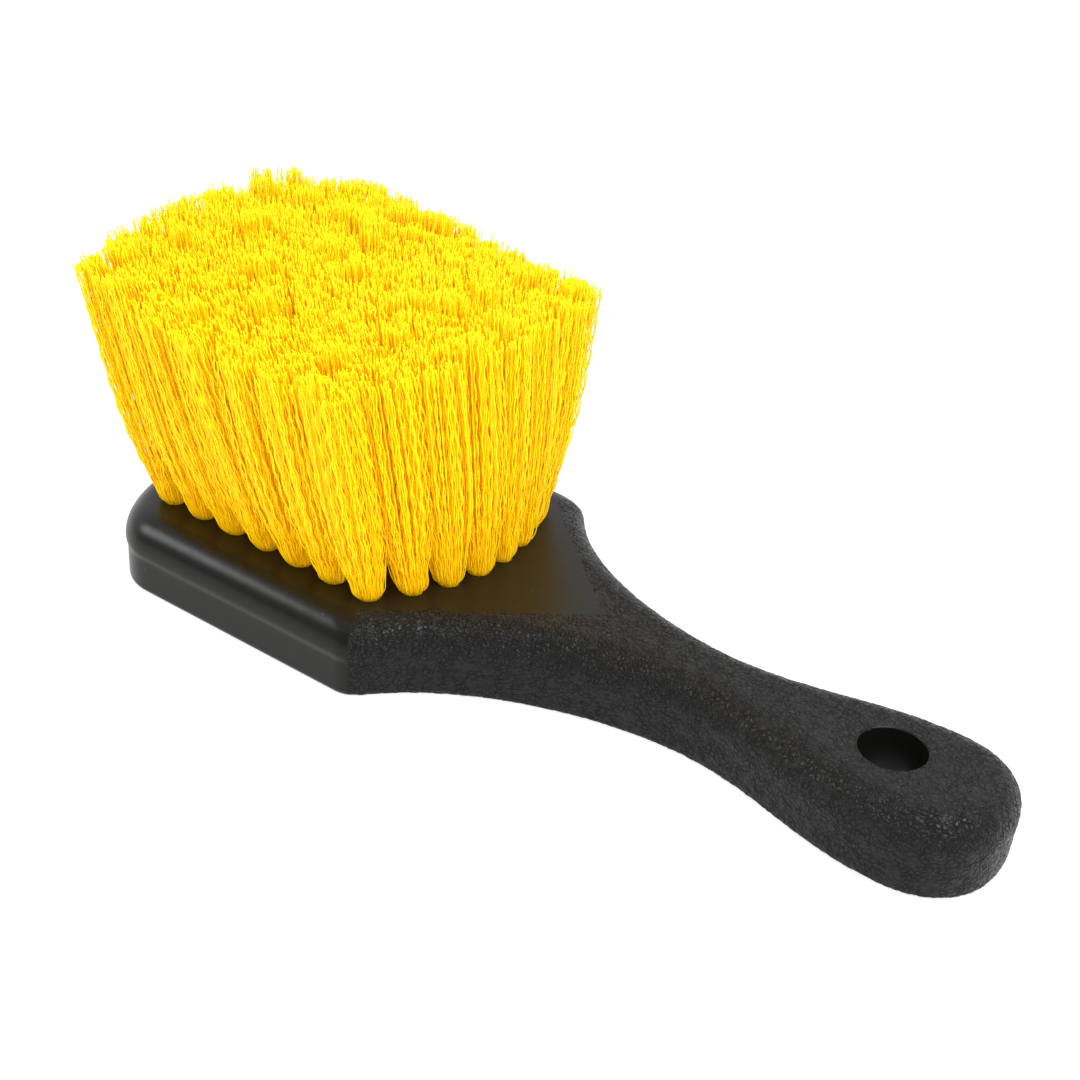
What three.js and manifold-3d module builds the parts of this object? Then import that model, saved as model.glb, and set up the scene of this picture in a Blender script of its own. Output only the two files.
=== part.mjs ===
// Wheel brush: one moulded block and handle, drilled and filled with fanned bristle tufts.
// Millimetres, +Z up. The brush lies on its flat back with the bristles standing up.
// X runs from the far end of the block to the end of the handle, and Y runs across.
import * as THREE from "three";
import { mergeVertices } from "three/addons/utils/BufferGeometryUtils.js";
import Module from "manifold-3d";

const wasm = await Module();
wasm.setup();

// Block and handle. Every x is measured from the far end of the block.
const LENGTH = 216;
const THICKNESS = 17.5;
const BLOCK_HALF_WIDTH = 42.9;
const END_ARC_LENGTH = 23;
const SHOULDER_X = 86;
const SHOULDER_HALF_WIDTH = 42.2;
const NECK_X = 149.5;
const NECK_HALF_WIDTH = 10.2;
const GRIP_X = 196.9;
const GRIP_HALF_WIDTH = 18.3;
const CAP_SQUARENESS = 2.3;

// How far the curve between two of those points keeps its direction at each end
const SHOULDER_PULL_X = 17;
const SHOULDER_PULL_Y = 25;
const NECK_PULL_BACK = 14;
const NECK_PULL_ON = 18.5;
const GRIP_PULL = 17.5;

// Edges of the moulding, seen in a cut across it: a wide quarter round at the top, a small
// one at the back, and a lip at the line where the two halves of the mould meet
const TOP_ROUND = 7;
const BACK_ROUND = 1.2;
const PARTING_Z = 9.6;
const PARTING_LIP = 0.4;

// Hanging hole
const HOLE_X = 190.2;
const HOLE_RADIUS = 6.9;

// Tufts: eight rows along X, and the same number of tufts in a row on each side of the middle
const ROW_COUNTS = [7, 7, 7, 8, 8, 7, 7, 7];
const ROW_PITCH = 8.2;
const FIELD_START_X = 14.2;
const FIELD_END_X = 90.3;
const START_BOW = 0.006;
const END_BOW = 0.0126;
const TUFT_RADIUS = 2.4;
const TUFT_HOLE_RADIUS = 2.75;
const TUFT_HOLE_DEPTH = 10;

// Bristle tips, spread over a wider field than the roots. The side at negative Y bulges most.
const TIP_START_X = -1.9;
const TIP_END_X = 91;
const TIP_START_BOW = 0.0068;
const TIP_END_BOW = 0.0044;
const TIP_ROW_PITCH = 11.05;
const TIP_SIDE_BULGE = 5;
const TIP_CORNER = 0.62;

// The trim: its height over the block's middle, a slope down towards the grip, a drop to the sides
const TRIM_MIDDLE = 57.6;
const TRIM_SLOPE = 0.104;
const TRIM_DROP = 0.0011;

// Clearance between pieces that touch, and how far a drill runs past the face that it cuts
const CLEARANCE = 0.3;
const OVERRUN = 1;

// How finely the round shapes are cut
const OUTLINE_STEPS = { endArc: 12, flare: 14, grip: 10, cap: 9 };
const BACK_ROUND_STEPS = 2;
const TOP_ROUND_STEPS = 5;
const HOLE_SIDES = 28;
const TUFT_SIDES = 8;
const TUFT_HOLE_SIDES = 10;
const MERGE_DISTANCE = 1e-4;

// Colours and roughness of the two materials
const BLACK_PLASTIC = { color: 0x2b2b2a, roughness: 0.5, metalness: 0 };
const YELLOW_BRISTLE = { color: 0xf6c80f, roughness: 0.6, metalness: 0 };

// The rounded end of the grip, a little squarer than an ellipse
function capPoints() {
  return Array.from({ length: OUTLINE_STEPS.cap }, (_, i) => {
    const angle = (1 - (i + 1) / OUTLINE_STEPS.cap) * (Math.PI / 2);
    return new THREE.Vector2(
      GRIP_X + (LENGTH - GRIP_X) * Math.cos(angle) ** (2 / CAP_SQUARENESS),
      GRIP_HALF_WIDTH * Math.sin(angle) ** (2 / CAP_SQUARENESS));
  });
}

// Half of the outline seen from above, from the far end to the end of the handle
function halfOutline() {
  const endArc = new THREE.EllipseCurve(
    END_ARC_LENGTH, 0, END_ARC_LENGTH, BLOCK_HALF_WIDTH, Math.PI, Math.PI / 2, true);
  const flare = new THREE.CubicBezierCurve(
    new THREE.Vector2(SHOULDER_X, SHOULDER_HALF_WIDTH),
    new THREE.Vector2(SHOULDER_X + SHOULDER_PULL_X, SHOULDER_HALF_WIDTH - SHOULDER_PULL_Y),
    new THREE.Vector2(NECK_X - NECK_PULL_BACK, NECK_HALF_WIDTH),
    new THREE.Vector2(NECK_X, NECK_HALF_WIDTH));
  const grip = new THREE.CubicBezierCurve(
    new THREE.Vector2(NECK_X, NECK_HALF_WIDTH),
    new THREE.Vector2(NECK_X + NECK_PULL_ON, NECK_HALF_WIDTH),
    new THREE.Vector2(GRIP_X - GRIP_PULL, GRIP_HALF_WIDTH),
    new THREE.Vector2(GRIP_X, GRIP_HALF_WIDTH));
  return [
    ...endArc.getPoints(OUTLINE_STEPS.endArc),
    ...flare.getPoints(OUTLINE_STEPS.flare),
    ...grip.getPoints(OUTLINE_STEPS.grip).slice(1),
    ...capPoints(),
  ];
}

// The whole outline, anticlockwise seen from above
function outline() {
  const half = halfOutline();
  const other = half.slice(1, -1).reverse().map((p) => new THREE.Vector2(p.x, -p.y));
  return [...half, ...other].reverse();
}

// The outline moved inwards by a distance, each corner kept on its bisector
function insetOutline(points, distance) {
  return points.map((point, i) => {
    const before = points[(i + points.length - 1) % points.length];
    const after = points[(i + 1) % points.length];
    const inDirection = point.clone().sub(before).normalize();
    const outDirection = after.clone().sub(point).normalize();
    const normal = new THREE.Vector2(-inDirection.y - outDirection.y, inDirection.x + outDirection.x);
    normal.normalize();
    const cosine = -normal.x * inDirection.y + normal.y * inDirection.x;
    return point.clone().addScaledVector(normal, distance / cosine);
  });
}

// Angles of a quarter turn cut into equal steps, from 0 to a right angle
function quarterTurn(steps) {
  return Array.from({ length: steps + 1 }, (_, i) => (i / steps) * (Math.PI / 2));
}

// Inset and height of the moulding's edge, from the back up to the top face
function edgeProfile() {
  const back = quarterTurn(BACK_ROUND_STEPS).map((angle) => ({
    inset: PARTING_LIP + BACK_ROUND * (1 - Math.sin(angle)),
    z: BACK_ROUND * (1 - Math.cos(angle)),
  }));
  const parting = [
    { inset: PARTING_LIP, z: PARTING_Z },
    { inset: 0, z: PARTING_Z + PARTING_LIP },
  ];
  const top = quarterTurn(TOP_ROUND_STEPS).map((angle) => ({
    inset: TOP_ROUND * (1 - Math.cos(angle)),
    z: THICKNESS - TOP_ROUND * (1 - Math.sin(angle)),
  }));
  return [...back, ...parting, ...top];
}

// A closed solid through rings of equal point counts, each ring a list of Vector3
function loft(rings) {
  const count = rings[0].length;
  const positions = rings.flat().flatMap((p) => [p.x, p.y, p.z]);
  const index = [];
  for (let level = 0; level + 1 < rings.length; level += 1) {
    for (let i = 0; i < count; i += 1) {
      const a = level * count + i;
      const b = level * count + ((i + 1) % count);
      index.push(a, b, b + count, a, b + count, a + count);
    }
  }
  const flat = rings[0].map((p) => new THREE.Vector2(p.x, p.y));
  const last = (rings.length - 1) * count;
  const topFlat = rings[rings.length - 1].map((p) => new THREE.Vector2(p.x, p.y));
  THREE.ShapeUtils.triangulateShape(flat, []).forEach(([a, b, c]) => index.push(a, c, b));
  THREE.ShapeUtils.triangulateShape(topFlat, []).forEach(([a, b, c]) => {
    index.push(last + a, last + b, last + c);
  });
  const geometry = new THREE.BufferGeometry();
  geometry.setAttribute("position", new THREE.Float32BufferAttribute(positions, 3));
  geometry.setIndex(index);
  return geometry;
}

function moulding() {
  const points = outline();
  const rings = edgeProfile().map(({ inset, z }) =>
    insetOutline(points, inset).map((p) => new THREE.Vector3(p.x, p.y, z)));
  return loft(rings);
}

// An upright cylinder between two heights, used to drill the moulding
function drill(x, y, bottom, top, radius, sides) {
  const geometry = new THREE.CylinderGeometry(radius, radius, top - bottom, sides);
  geometry.rotateX(Math.PI / 2);
  geometry.translate(x, y, (bottom + top) / 2);
  return geometry;
}

function toSolid(geometry) {
  const bare = geometry.clone();
  bare.deleteAttribute("normal");
  bare.deleteAttribute("uv");
  const merged = mergeVertices(bare, MERGE_DISTANCE);
  return new wasm.Manifold(new wasm.Mesh({
    numProp: 3,
    vertProperties: new Float32Array(merged.attributes.position.array),
    triVerts: new Uint32Array(merged.index.array),
  }));
}

function toGeometry(solid) {
  const mesh = solid.getMesh();
  const geometry = new THREE.BufferGeometry();
  geometry.setAttribute("position", new THREE.Float32BufferAttribute(mesh.vertProperties, 3));
  geometry.setIndex(Array.from(mesh.triVerts));
  return geometry;
}

// How far a tuft's tip is pushed out sideways, as a share of its distance from the middle
function sideBulge(tipY, alongRow) {
  const halfField = (ROW_COUNTS.length / 2) * TIP_ROW_PITCH;
  return tipY < 0 ? (TIP_SIDE_BULGE / halfField) * (1 - alongRow ** 2) : 0;
}

// Root and tip of each tuft. A tip owns a cell of the tip field, so that tufts never cross.
function tuftPlaces() {
  const middleRow = (ROW_COUNTS.length - 1) / 2;
  return ROW_COUNTS.flatMap((count, row) => {
    const rootY = (row - middleRow) * ROW_PITCH;
    const flatTipY = (row - middleRow) * TIP_ROW_PITCH;
    const rootStart = FIELD_START_X + START_BOW * rootY ** 2;
    const rootEnd = FIELD_END_X - END_BOW * rootY ** 2;
    const tipStart = TIP_START_X + TIP_START_BOW * flatTipY ** 2;
    const tipEnd = TIP_END_X - TIP_END_BOW * flatTipY ** 2;
    const cellLength = (tipEnd - tipStart) / count;
    return Array.from({ length: count }, (_, i) => {
      const rootX = THREE.MathUtils.lerp(rootStart, rootEnd, i / (count - 1));
      const tipX = tipStart + (i + 0.5) * cellLength;
      const bulge = 1 + sideBulge(flatTipY, (2 * i + 1) / count - 1);
      const tipY = flatTipY * bulge;
      const fromMiddle = tipX - (TIP_START_X + TIP_END_X) / 2;
      const trim = TRIM_MIDDLE - TRIM_SLOPE * fromMiddle - TRIM_DROP * tipY ** 2;
      return {
        name: `tuft_row${row + 1}_${i + 1}`,
        root: new THREE.Vector3(rootX, rootY, THICKNESS),
        tip: new THREE.Vector3(tipX, tipY, THICKNESS + trim),
        cell: new THREE.Vector2(cellLength, TIP_ROW_PITCH * bulge),
      };
    });
  });
}

// A ring of points between a circle and a rounded rectangle
function roundRing(centre, halfX, halfY, squareness) {
  return Array.from({ length: TUFT_SIDES }, (_, i) => {
    const angle = ((i + 0.5) / TUFT_SIDES) * 2 * Math.PI;
    const cosine = Math.cos(angle);
    const sine = Math.sin(angle);
    const x = Math.sign(cosine) * Math.abs(cosine) ** squareness * halfX;
    const y = Math.sign(sine) * Math.abs(sine) ** squareness * halfY;
    return new THREE.Vector3(centre.x + x, centre.y + y, centre.z);
  });
}

// One tuft: a stem in its hole, spreading in a straight fan from the block to its tip
function tuft({ root, tip, cell }) {
  const stemBottom = root.clone().setZ(THICKNESS - TUFT_HOLE_DEPTH + CLEARANCE);
  const halfX = cell.x / 2 - CLEARANCE;
  const halfY = cell.y / 2 - CLEARANCE;
  return loft([
    roundRing(stemBottom, TUFT_RADIUS, TUFT_RADIUS, 1),
    roundRing(root, TUFT_RADIUS, TUFT_RADIUS, 1),
    roundRing(tip, halfX, halfY, TIP_CORNER),
  ]);
}

function handleBlock(places) {
  const bottom = THICKNESS - TUFT_HOLE_DEPTH;
  const above = THICKNESS + OVERRUN;
  const hangingHole = drill(HOLE_X, 0, -OVERRUN, above, HOLE_RADIUS, HOLE_SIDES);
  const drilled = places.reduce((body, { root }) => body.subtract(
    toSolid(drill(root.x, root.y, bottom, above, TUFT_HOLE_RADIUS, TUFT_HOLE_SIDES))),
  toSolid(moulding()).subtract(toSolid(hangingHole)));
  return toGeometry(drilled);
}

function piece(name, geometry, finish) {
  const mesh = new THREE.Mesh(geometry, new THREE.MeshStandardMaterial(finish));
  mesh.name = name;
  return mesh;
}

function wheelBrush() {
  const group = new THREE.Group();
  const places = tuftPlaces();
  group.add(piece("handle_block", handleBlock(places), BLACK_PLASTIC));
  places.forEach((place) => group.add(piece(place.name, tuft(place), YELLOW_BRISTLE)));
  // The origin is on the moulding's middle line, halfway along the whole brush, at its back
  const box = new THREE.Box3().setFromObject(group);
  group.position.x = -(box.min.x + box.max.x) / 2;
  return group;
}

export default wheelBrush();
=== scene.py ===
import math

import bmesh
import bpy
import numpy as np
from mathutils import Matrix, Vector, geometry, noise


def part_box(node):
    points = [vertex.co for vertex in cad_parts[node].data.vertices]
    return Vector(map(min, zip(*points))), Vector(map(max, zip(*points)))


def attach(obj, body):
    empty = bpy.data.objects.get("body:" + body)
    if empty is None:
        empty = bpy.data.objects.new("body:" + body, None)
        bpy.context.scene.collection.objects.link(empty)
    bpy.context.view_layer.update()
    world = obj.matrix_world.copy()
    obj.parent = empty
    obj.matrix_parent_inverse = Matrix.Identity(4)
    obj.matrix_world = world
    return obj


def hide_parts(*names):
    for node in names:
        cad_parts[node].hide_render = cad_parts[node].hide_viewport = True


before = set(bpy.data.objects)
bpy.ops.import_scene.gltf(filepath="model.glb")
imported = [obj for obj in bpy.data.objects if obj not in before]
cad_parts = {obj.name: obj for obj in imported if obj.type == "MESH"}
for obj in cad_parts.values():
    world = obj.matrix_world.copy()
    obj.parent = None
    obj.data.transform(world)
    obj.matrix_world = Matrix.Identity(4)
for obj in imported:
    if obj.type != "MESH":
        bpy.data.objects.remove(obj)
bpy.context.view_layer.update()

MM = 0.001
BODY = "root"

# The block's box gives the frame of everything else. X below is counted from the far end.
block_low, block_high = (np.array(corner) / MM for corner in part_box("handle_block"))
FAR_END = block_low[0]
LENGTH = block_high[0] - block_low[0]
HALF_WIDTH = block_high[1]
THICKNESS = block_high[2]

# Material slots of the moulding
SMOOTH = 0
GRAINED = 1

# Outline of the moulding, as in the CAD model
END_ARC_LENGTH = 23.0
SHOULDER_X = 86.0
SHOULDER_HALF_WIDTH = 42.2
SHOULDER_PULL = (17.0, 25.0)
NECK_X = 149.5
NECK_HALF_WIDTH = 10.2
NECK_PULL_BACK = 14.0
NECK_PULL_ON = 18.5
GRIP_X = 196.9
GRIP_HALF_WIDTH = 18.3
CAP_SQUARENESS = 2.3
GRIP_PULL = 17.5

# Its edges, seen in a cut across it
TOP_ROUND = 7.0
TOP_ROUND_WIDTH = 6.6
BACK_ROUND = 1.2
PARTING_Z = 9.6
PARTING_LIP = 0.4
LIP_HEIGHT = 2.2
LIP_MIDDLE = 0.65
WALL_STEP = 0.45

# The block's side meets the handle in a mitre, which is rounded more the further in it lies
MITRE_REACH = 14.0
MITRE_SEARCH = 12.0
CORNER_WIDTH = 3.4
CORNER_GROWTH = 0.9
CORNER_POINTS = 7
MITRE_STEP = 0.8
BLOCK_STEP = 1.5

# The smooth panel on the block ends in a point on the way to the grip
PANEL_POINT_X = 121.3

# Hanging hole and tuft holes. The middle of a hole's flat sides is a little nearer its centre
# than their ends, and a drill leaves a shallow cone at the bottom of a tuft hole.
HOLE_X = 190.2
HOLE_RADIUS = 6.9
HOLE_ROUND = 0.35
HOLE_SIDES = 96
HOLE_FLATNESS = 0.985
TUFT_HOLE_RADIUS = 2.62
TUFT_HOLE_BEVEL = 0.15
TUFT_HOLE_DEPTH = 10.0
TUFT_HOLE_SIDES = 22
DRILL_TIP_RADIUS = 0.8
DRILL_TIP_DEPTH = 0.6

# Moulded leather grain: the mesh's pitch and how many pitches it stays clear of edges and other
# lines, and then the size, depth and make-up of the pebbles
GRAIN_PITCH = 0.42
BACK_PITCH = 1.5 * GRAIN_PITCH
EDGE_PITCHES = 0.7
LINE_PITCHES = 0.6
GRAIN_CELL = 1.75
GRAIN_DEPTH = 0.13
GRAIN_FADE = 0.7
GRAIN_WARP = 0.55
CREASE_WIDTH = 0.42
SWELL_SHARE = 0.45
FINE_SHARE = 0.22
GRAIN_MIDDLE = 0.8
GRAIN_SEED = 1

# Filaments, and the tubes that show them
FOLDED_FILAMENTS = 114
FILAMENT_RADIUS = 0.185
ROOT_FILAMENT_RADIUS = 0.145
TAPER_HEIGHT = 30.0
STEPS_UP = 44
STEP_GROWTH = 1.15
TUBE_SIDES = 3

# A tuft swells where it leaves its hole, and then spreads up to its tip
ROOT_RADIUS = 2.32
ROOT_SCATTER = 0.035
BULGE = 0.95
BULGE_SCATTER = 0.3
BULGE_HEIGHT = 0.9
SPREAD_HEIGHT = 15.0
SPREAD_ONSET = 1.5
TIP_OVERLAP = 1.12
TIP_SCATTER = 0.9
TRIM_SCATTER = 0.4

# Its filaments gather in clumps, and a few clumps stand taller
CLUMPS = 7
CLUMP_SCATTER = 0.1
CLUMP_PULL = 0.15
CLUMP_LEAN = 0.5
CLUMP_RISE = 0.4
TALL_CLUMP_SHARE = 0.08
TALL_CLUMP_RISE = 3.2

# Some filaments stray a little from their tuft, and a very few are loose
STRAY_SHARE = 0.03
STRAY_SCATTER = 2.0
LOOSE_SHARE = 0.004
LOOSE_SCATTER = 6.0
LOOSE_LIMIT = 8

# Each filament is crimped in a wave that is nearly in step with the rest of its clump
CRIMP_LENGTH = 6.3
CRIMP_LENGTH_SCATTER = 0.05
CRIMP_HEIGHT = 0.27
CRIMP_HEIGHT_SPAN = (0.75, 1.25)
CRIMP_AT_ROOT = 0.2
CRIMP_ONSET = 7
CRIMP_TURN_SCATTER = 0.9
CRIMP_PHASE_SCATTER = 0.6

# In its hole a tuft is squeezed along the wire anchor and across it, and folds under it
FOLD_SQUEEZE = (0.86, 0.7, 1.0)
FOLD_LIFT = 1.9
FOLD_DEPTH = 1.4
FOLD_POINTS = 5
HALFWAY_DOWN = 0.45

# Wire anchors: a flat staple lies across each tuft's fold and bites into the hole's wall
ANCHOR_SIZE = (5.6, 0.45, 1.9)
ANCHOR_LIFT = 2.6
ANCHOR_BEVEL = 0.06

# Colours, in linear red, green and blue. A pair is the two ends of a range.
SMOOTH_BLACKS = ((0.004, 0.004, 0.0036, 1), (0.007, 0.007, 0.006, 1))
GRAINED_BLACKS = ((0.007, 0.007, 0.007, 1), (0.012, 0.012, 0.0115, 1))
# Painted shade: a near-black colour for the grain's creases, where shade falls.
PAINTED_CREASE_SHADE = (0.001, 0.001, 0.001, 1)
DUST = (0.10, 0.095, 0.085, 1)
YELLOWS = ((0.985, 0.64, 0.003, 1), (0.99, 0.70, 0.004, 1))
# Painted shade: a darker, more orange yellow near the filaments' roots, where the tuft shades itself.
PAINTED_ROOT_SHADE = (0.985, 0.61, 0.002, 1)
PAINTED_ROOT_SHADE_SHARE = 0.6
PAINTED_ROOT_SHADE_HEIGHT = 20
ZINCS = ((0.42, 0.43, 0.44, 1), (0.60, 0.61, 0.62, 1))
FLOOR_GREYS = ((0.34, 0.34, 0.34, 1), (0.36, 0.36, 0.36, 1))
WHITE = (1, 1, 1, 1)

# Camera, fitted to the photo's outline of the brush
CAMERA_PLACE = (0.17633, -0.25513, 0.20643)
CAMERA_AIM = (-0.03344, 0.04118, 0.0)
CAMERA_ROLL = 4.564
CAMERA_LENS = 55.56

# Studio, in metres: a two-toned sky, a key and a fill light, and a floor that glows a little
BRIGHT_SKY = (-0.45, 0.65, 0.6)
BRIGHT_SKY_STRENGTH = 0.97
DIM_SKY_STRENGTH = 0.36
SKY_SPAN = (-0.1, 0.6)
HORIZON_RISE = (0.08, 0.13)
STUDIO_AIM = (-0.03, -0.03, 0.02)
KEY_PLACE = (-0.71, -0.43, 0.54)
KEY_SIZE = 0.3
KEY_POWER = 2.8
FILL_PLACE = (0.45, -0.07, 0.75)
FILL_SIZE = 0.5
FILL_POWER = 7.5
FRONT_PLACE = (0.28, -0.58, 0.22)
FRONT_AIM = (-0.05, 0, 0.04)
FRONT_SIZE = 1.0
FRONT_POWER = 6.2
FLOOR_GLOW = 0.8
FLOOR_REACH = 40.0
LIGHT_BOUNCES = 32


# ---- Pieces ---------------------------------------------------------------------------------


def new_piece(name, points, faces, materials, slots=None):
    """A mesh object from points in millimetres and a list of face arrays, smooth shaded."""
    mesh = bpy.data.meshes.new(name)
    points = np.asarray(points, float) * MM
    corners = np.concatenate([block.ravel() for block in faces])
    sizes = np.concatenate([np.full(len(block), block.shape[1]) for block in faces])
    mesh.vertices.add(len(points))
    mesh.vertices.foreach_set("co", points.ravel())
    mesh.loops.add(len(corners))
    mesh.loops.foreach_set("vertex_index", corners.astype(np.int32))
    mesh.polygons.add(len(sizes))
    starts = np.concatenate([[0], np.cumsum(sizes)[:-1]])
    mesh.polygons.foreach_set("loop_start", starts.astype(np.int32))
    mesh.polygons.foreach_set("use_smooth", np.ones(len(sizes), bool))
    if slots is not None:
        mesh.polygons.foreach_set("material_index", np.asarray(slots, np.int32))
    for material in materials:
        mesh.materials.append(material)
    mesh.update(calc_edges=True)
    mesh.validate()
    piece = bpy.data.objects.new(name, mesh)
    bpy.context.scene.collection.objects.link(piece)
    return piece


def face_outwards(piece):
    """Turns all of a closed mesh's faces outwards."""
    shape = bmesh.new()
    shape.from_mesh(piece.data)
    bmesh.ops.recalc_face_normals(shape, faces=shape.faces)
    shape.to_mesh(piece.data)
    shape.free()


def ring_faces(first, second):
    """Quads between two closed rings of vertex numbers."""
    after_first, after_second = np.roll(first, -1), np.roll(second, -1)
    return np.stack([first, after_first, after_second, second], axis=1)


# ---- Moulding -------------------------------------------------------------------------------


def bezier(a, b, c, d, count=600):
    """Points of a cubic curve from a to d, pulled towards b and c."""
    t = np.linspace(0, 1, count)[:, None]
    a, b, c, d = (np.array(point, float) for point in (a, b, c, d))
    return a * (1 - t) ** 3 + 3 * b * t * (1 - t) ** 2 + 3 * c * t**2 * (1 - t) + d * t**3


def quarter_arc(centre_x, along, across, angles, squareness=2.0, count=600):
    """A quarter of an ellipse, or of a squarer rounded shape, between two angles."""
    angle = np.linspace(*angles, count)
    cosine, sine = np.cos(angle), np.abs(np.sin(angle))
    x = centre_x + along * np.sign(cosine) * np.abs(cosine) ** (2 / squareness)
    return np.stack([x, across * sine ** (2 / squareness)], axis=1)


class Stretch:
    """A smooth stretch of half the outline: points and inward normals by distance along it."""

    def __init__(self, *parts):
        points = np.concatenate([parts[0]] + [part[1:] for part in parts[1:]])
        steps = np.hypot(*np.diff(points, axis=0).T)
        self.at = np.concatenate([[0], np.cumsum(steps)])
        self.length = self.at[-1]
        tangents = np.gradient(points, self.at, axis=0)
        tangents /= np.linalg.norm(tangents, axis=1)[:, None]
        self.points = points
        self.inward = np.stack([tangents[:, 1], -tangents[:, 0]], axis=1)

    def inset(self, at, distance):
        """Points at distances along the stretch, moved inwards."""

        def read(values):
            return np.stack([np.interp(at, self.at, values[:, i]) for i in (0, 1)], axis=1)

        inward = read(self.inward)
        inward /= np.linalg.norm(inward, axis=1)[:, None]
        return read(self.points) + distance * inward


def outline_stretches():
    """The block's half outline up to the shoulder, and the handle's from there on."""
    end_arc = quarter_arc(END_ARC_LENGTH, END_ARC_LENGTH, HALF_WIDTH, (math.pi, math.pi / 2))
    corners = np.array([(END_ARC_LENGTH, HALF_WIDTH), (SHOULDER_X, SHOULDER_HALF_WIDTH)])
    side = corners[0] + (corners[1] - corners[0]) * np.linspace(0, 1, 200)[:, None]
    flare = bezier(
        (SHOULDER_X, SHOULDER_HALF_WIDTH),
        (SHOULDER_X + SHOULDER_PULL[0], SHOULDER_HALF_WIDTH - SHOULDER_PULL[1]),
        (NECK_X - NECK_PULL_BACK, NECK_HALF_WIDTH),
        (NECK_X, NECK_HALF_WIDTH),
    )
    grip = bezier(
        (NECK_X, NECK_HALF_WIDTH),
        (NECK_X + NECK_PULL_ON, NECK_HALF_WIDTH),
        (GRIP_X - GRIP_PULL, GRIP_HALF_WIDTH),
        (GRIP_X, GRIP_HALF_WIDTH),
    )
    cap_angles = (math.pi / 2, 0)
    cap = quarter_arc(GRIP_X, LENGTH - GRIP_X, GRIP_HALF_WIDTH, cap_angles, CAP_SQUARENESS)
    return Stretch(end_arc, side), Stretch(flare, grip, cap)


BLOCK_SIDE, HANDLE_SIDE = outline_stretches()


def columns():
    """Distances along the two stretches where the moulding's wall has an upright row of points."""
    length = BLOCK_SIDE.length
    block = np.concatenate([
        np.arange(0, length - MITRE_REACH, BLOCK_STEP),
        np.arange(length - MITRE_REACH, length - CORNER_WIDTH, MITRE_STEP),
        np.linspace(length - CORNER_WIDTH, length, CORNER_POINTS),
    ])
    handle = np.concatenate([
        np.linspace(0, CORNER_WIDTH, CORNER_POINTS)[1:],
        np.arange(CORNER_WIDTH + GRAIN_PITCH, HANDLE_SIDE.length - GRAIN_PITCH / 2, GRAIN_PITCH),
        [HANDLE_SIDE.length],
    ])
    return block, handle


def half_ring(on_block, on_handle):
    """Half of the outline moved inwards, with the two stretches meeting on the corner's mitre."""
    block, handle = columns()
    near = np.linspace(0, MITRE_SEARCH, 400)
    start = HANDLE_SIDE.inset(near, on_handle)
    meets_at = np.interp(on_block - SHOULDER_HALF_WIDTH, -start[:, 1], near)
    meets_x = np.interp(meets_at, near, start[:, 0])
    block_cut = SHOULDER_X - meets_x
    close = np.clip((block - BLOCK_SIDE.length + MITRE_REACH) / MITRE_REACH, 0, 1)
    block_points = BLOCK_SIDE.inset(block - block_cut * close, on_block)
    close = np.clip(1 - handle / MITRE_REACH, 0, 1)
    handle_points = HANDLE_SIDE.inset(handle + meets_at * close, on_handle)
    ring = np.concatenate([block_points, handle_points])
    ring[[0, -1], 1] = 0
    width = CORNER_WIDTH + CORNER_GROWTH * on_block
    return round_corner(ring, np.concatenate([block - BLOCK_SIDE.length, handle]), width)


def round_corner(ring, from_corner, width):
    """Replaces the corner of a ring by a parabola between its two neighbours' directions."""
    inside = np.abs(from_corner) <= width + 1e-6
    first, last = np.flatnonzero(inside)[[0, -1]]
    corner = ring[np.argmin(np.abs(from_corner))]
    t = np.interp(from_corner[inside], from_corner[inside][[0, -1]], (0, 1))[:, None]
    ring[inside] = ring[first] * (1 - t) ** 2 + 2 * corner * t * (1 - t) + ring[last] * t**2
    return ring


def whole_ring(on_block, on_handle):
    """The whole outline moved inwards, starting at the middle of the far end."""
    half = half_ring(on_block, on_handle)
    other = half[-2:0:-1] * (1, -1)
    return np.concatenate([half, other])


def edge_profile():
    """Levels up the moulding's edge: inset on the block, inset on the handle, and height."""
    back = [
        (PARTING_LIP + BACK_ROUND * (1 - math.sin(a)), BACK_ROUND * (1 - math.cos(a)))
        for a in np.linspace(0, math.pi / 2, 5)
    ]
    wall_z = np.arange(BACK_ROUND + 0.5, PARTING_Z - LIP_HEIGHT, WALL_STEP)
    wall = [(PARTING_LIP, z) for z in wall_z]
    lip = [
        (PARTING_LIP * (1 + math.cos(a)) / 2, PARTING_Z + LIP_HEIGHT * (a / math.pi - LIP_MIDDLE))
        for a in np.linspace(0, math.pi, 7)
    ]
    centre_z = THICKNESS - TOP_ROUND
    last = math.acos(1 - TOP_ROUND_WIDTH / TOP_ROUND)
    top = [
        (TOP_ROUND * (1 - math.cos(a)), centre_z + TOP_ROUND * math.sin(a) / math.sin(last))
        for a in np.linspace(0, last, 26)
    ]
    draft = [(min(inset, PARTING_LIP) * (1 - z / centre_z), z) for inset, z in wall + lip]
    return (
        [(inset, inset, z) for inset, z in back]
        + [(inset, drafted, z) for (inset, z), (drafted, _) in zip(wall + lip, draft)]
        + [(inset, inset, z) for inset, z in top]
    )


def inside_polygon(points, polygon):
    """Which points lie in a closed polygon, by counting the edges to one side of them."""
    inside = np.zeros(len(points), bool)
    x, y = points.T
    for (x0, y0), (x1, y1) in zip(polygon, np.roll(polygon, -1, axis=0)):
        if y0 != y1:
            crosses = (y0 > y) != (y1 > y)
            inside ^= crosses & (x < (x1 - x0) * (y - y0) / (y1 - y0) + x0)
    return inside


def panel_start(ring):
    """Number of the ring's point where a line from the smooth panel's point just touches it."""
    half = ring[:(len(ring) + 2) // 2]
    run = PANEL_POINT_X - half[:, 0]
    possible = (half[:, 0] > SHOULDER_X) & (run > 1)
    slope = np.where(possible, half[:, 1] / np.where(possible, run, 1), np.inf)
    return int(np.argmin(slope))


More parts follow.
